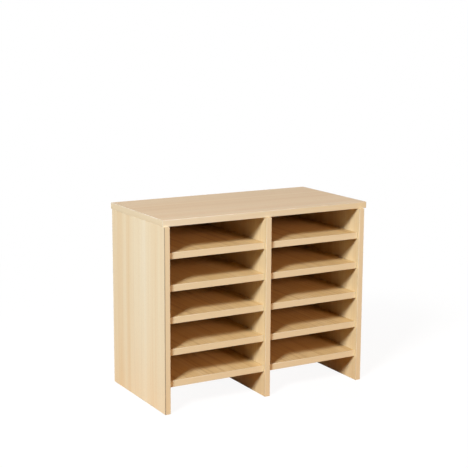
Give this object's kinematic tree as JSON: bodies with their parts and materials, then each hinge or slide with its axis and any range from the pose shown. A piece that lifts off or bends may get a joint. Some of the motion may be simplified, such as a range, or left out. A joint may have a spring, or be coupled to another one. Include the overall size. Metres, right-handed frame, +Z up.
{
  "type": "pigeonhole mail sorter",
  "caption": "Free-standing beech-effect mail sorter: columns of open pigeonholes between board uprights, with pull-out shelves on hidden wires and open foot space below.",
  "frame": {"origin": "centre of the footprint, on the surface the sorter stands on", "axes": "+X to the right seen from the front, +Y from the open front to the back, +Z up"},
  "size_m": [0.728, 0.38, 0.59],
  "materials": {
    "beech_board": "beech-effect melamine, satin, fine straight grain",
    "beech_edging": "beech-coloured plastic edging, satin",
    "back_board": "thin brown fibreboard, matt",
    "shelf_wire": "bright zinc-plated wire",
    "dowel": "bare beech"
  },
  "bodies": {
    "carcass": {"top_panel": "beech_board", "left_side_panel": "beech_board", "centre_divider": "beech_board", "right_side_panel": "beech_board", "top_front_edging": "beech_edging", "top_left_edging": "beech_edging", "top_right_edging": "beech_edging", "left_side_edging": "beech_edging", "centre_divider_edging": "beech_edging", "right_side_edging": "beech_edging", "back_panel": "back_board", "left_bottom_shelf": "beech_board", "left_bottom_shelf_edging": "beech_edging", "right_bottom_shelf": "beech_board", "right_bottom_shelf_edging": "beech_edging", "left_shelf_1_left_wire": "shelf_wire", "left_shelf_1_right_wire": "shelf_wire", "left_shelf_2_left_wire": "shelf_wire", "left_shelf_2_right_wire": "shelf_wire", "left_shelf_3_left_wire": "shelf_wire", "left_shelf_3_right_wire": "shelf_wire", "left_shelf_4_left_wire": "shelf_wire", "left_shelf_4_right_wire": "shelf_wire", "right_shelf_1_left_wire": "shelf_wire", "right_shelf_1_right_wire": "shelf_wire", "right_shelf_2_left_wire": "shelf_wire", "right_shelf_2_right_wire": "shelf_wire", "right_shelf_3_left_wire": "shelf_wire", "right_shelf_3_right_wire": "shelf_wire", "right_shelf_4_left_wire": "shelf_wire", "right_shelf_4_right_wire": "shelf_wire", "left_side_top_front_dowel": "dowel", "left_side_top_rear_dowel": "dowel", "left_side_bottom_front_dowel": "dowel", "left_side_bottom_rear_dowel": "dowel", "centre_divider_top_front_dowel": "dowel", "centre_divider_top_rear_dowel": "dowel", "centre_divider_bottom_front_dowel": "dowel", "centre_divider_bottom_rear_dowel": "dowel", "right_side_top_front_dowel": "dowel", "right_side_top_rear_dowel": "dowel", "right_side_bottom_front_dowel": "dowel", "right_side_bottom_rear_dowel": "dowel"},
    "left_shelf_1_body": {"left_shelf_1": "beech_board", "left_shelf_1_edging": "beech_edging"},
    "left_shelf_2_body": {"left_shelf_2": "beech_board", "left_shelf_2_edging": "beech_edging"},
    "left_shelf_3_body": {"left_shelf_3": "beech_board", "left_shelf_3_edging": "beech_edging"},
    "left_shelf_4_body": {"left_shelf_4": "beech_board", "left_shelf_4_edging": "beech_edging"},
    "right_shelf_1_body": {"right_shelf_1": "beech_board", "right_shelf_1_edging": "beech_edging"},
    "right_shelf_2_body": {"right_shelf_2": "beech_board", "right_shelf_2_edging": "beech_edging"},
    "right_shelf_3_body": {"right_shelf_3": "beech_board", "right_shelf_3_edging": "beech_edging"},
    "right_shelf_4_body": {"right_shelf_4": "beech_board", "right_shelf_4_edging": "beech_edging"}
  },
  "joints": [
    {"name": "left_shelf_1_slide", "type": "slide", "parent": "carcass", "child": "left_shelf_1_body", "axis": [0, -1, 0], "range_m": [0, 0.3]},
    {"name": "left_shelf_2_slide", "type": "slide", "parent": "carcass", "child": "left_shelf_2_body", "axis": [0, -1, 0], "range_m": [0, 0.3]},
    {"name": "left_shelf_3_slide", "type": "slide", "parent": "carcass", "child": "left_shelf_3_body", "axis": [0, -1, 0], "range_m": [0, 0.3]},
    {"name": "left_shelf_4_slide", "type": "slide", "parent": "carcass", "child": "left_shelf_4_body", "axis": [0, -1, 0], "range_m": [0, 0.3]},
    {"name": "right_shelf_1_slide", "type": "slide", "parent": "carcass", "child": "right_shelf_1_body", "axis": [0, -1, 0], "range_m": [0, 0.3]},
    {"name": "right_shelf_2_slide", "type": "slide", "parent": "carcass", "child": "right_shelf_2_body", "axis": [0, -1, 0], "range_m": [0, 0.3]},
    {"name": "right_shelf_3_slide", "type": "slide", "parent": "carcass", "child": "right_shelf_3_body", "axis": [0, -1, 0], "range_m": [0, 0.3]},
    {"name": "right_shelf_4_slide", "type": "slide", "parent": "carcass", "child": "right_shelf_4_body", "axis": [0, -1, 0], "range_m": [0, 0.3]}
  ]
}
